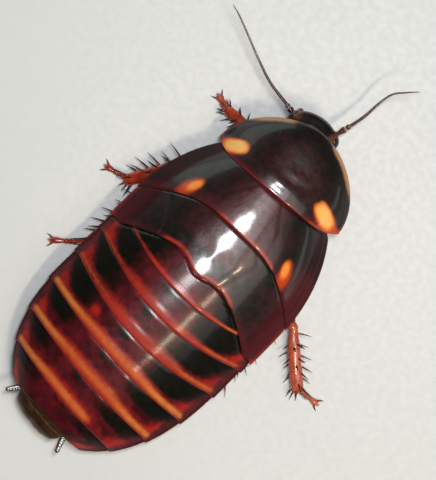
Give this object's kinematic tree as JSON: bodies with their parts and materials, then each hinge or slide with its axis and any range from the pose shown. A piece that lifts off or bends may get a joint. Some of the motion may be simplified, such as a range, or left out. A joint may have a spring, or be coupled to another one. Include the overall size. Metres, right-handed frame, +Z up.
{
  "type": "six-spotted cockroach nymph",
  "caption": "Broad, flat cockroach nymph with overlapping back plates, short wing pads, spiny legs and slender feelers, standing on a flat floor.",
  "frame": {"origin": "on the floor, at the middle of the flat under the third abdomen segment", "axes": "-Y towards the head, +X towards the animal's left, +Z up from the floor"},
  "size_m": [0.035, 0.0522, 0.0088],
  "materials": {
    "shell_black": "glossy black-brown shell with a tan rim and orange spots",
    "shell_red": "glossy dark red shell with black patches and orange hind bands",
    "tail_brown": "glossy olive-brown shell",
    "belly_red": "smooth red-brown skin",
    "leg_red": "glossy red-brown shell, darker towards the tips",
    "eye_black": "glossy black",
    "feeler_brown": "satin grey-brown"
  },
  "bodies": {
    "root": {"abdomen_segment_1": "shell_red", "abdomen_segment_2": "shell_red", "abdomen_segment_3": "shell_red", "abdomen_segment_4": "shell_red", "abdomen_segment_5": "shell_red", "abdomen_segment_6": "shell_red", "abdomen_segment_7": "shell_red", "antenna_left": "feeler_brown", "antenna_right": "feeler_brown", "cercus_left": "tail_brown", "cercus_right": "tail_brown", "coxa_left_fore": "leg_red", "coxa_left_hind": "leg_red", "coxa_left_mid": "leg_red", "coxa_right_fore": "leg_red", "coxa_right_hind": "leg_red", "coxa_right_mid": "leg_red", "eye_left": "eye_black", "eye_right": "eye_black", "femur_left_fore": "leg_red", "femur_left_hind": "leg_red", "femur_left_mid": "leg_red", "femur_right_fore": "leg_red", "femur_right_hind": "leg_red", "femur_right_mid": "leg_red", "head": "shell_black", "mesonotum": "shell_black", "metanotum": "shell_black", "palp_left": "leg_red", "palp_right": "leg_red", "pronotum": "shell_black", "supra_anal_plate": "tail_brown", "tarsus_left_fore": "leg_red", "tarsus_left_hind": "leg_red", "tarsus_left_mid": "leg_red", "tarsus_right_fore": "leg_red", "tarsus_right_hind": "leg_red", "tarsus_right_mid": "leg_red", "thorax_underside": "belly_red", "tibia_left_fore": "leg_red", "tibia_left_hind": "leg_red", "tibia_left_mid": "leg_red", "tibia_right_fore": "leg_red", "tibia_right_hind": "leg_red", "tibia_right_mid": "leg_red"}
  },
  "joints": []
}
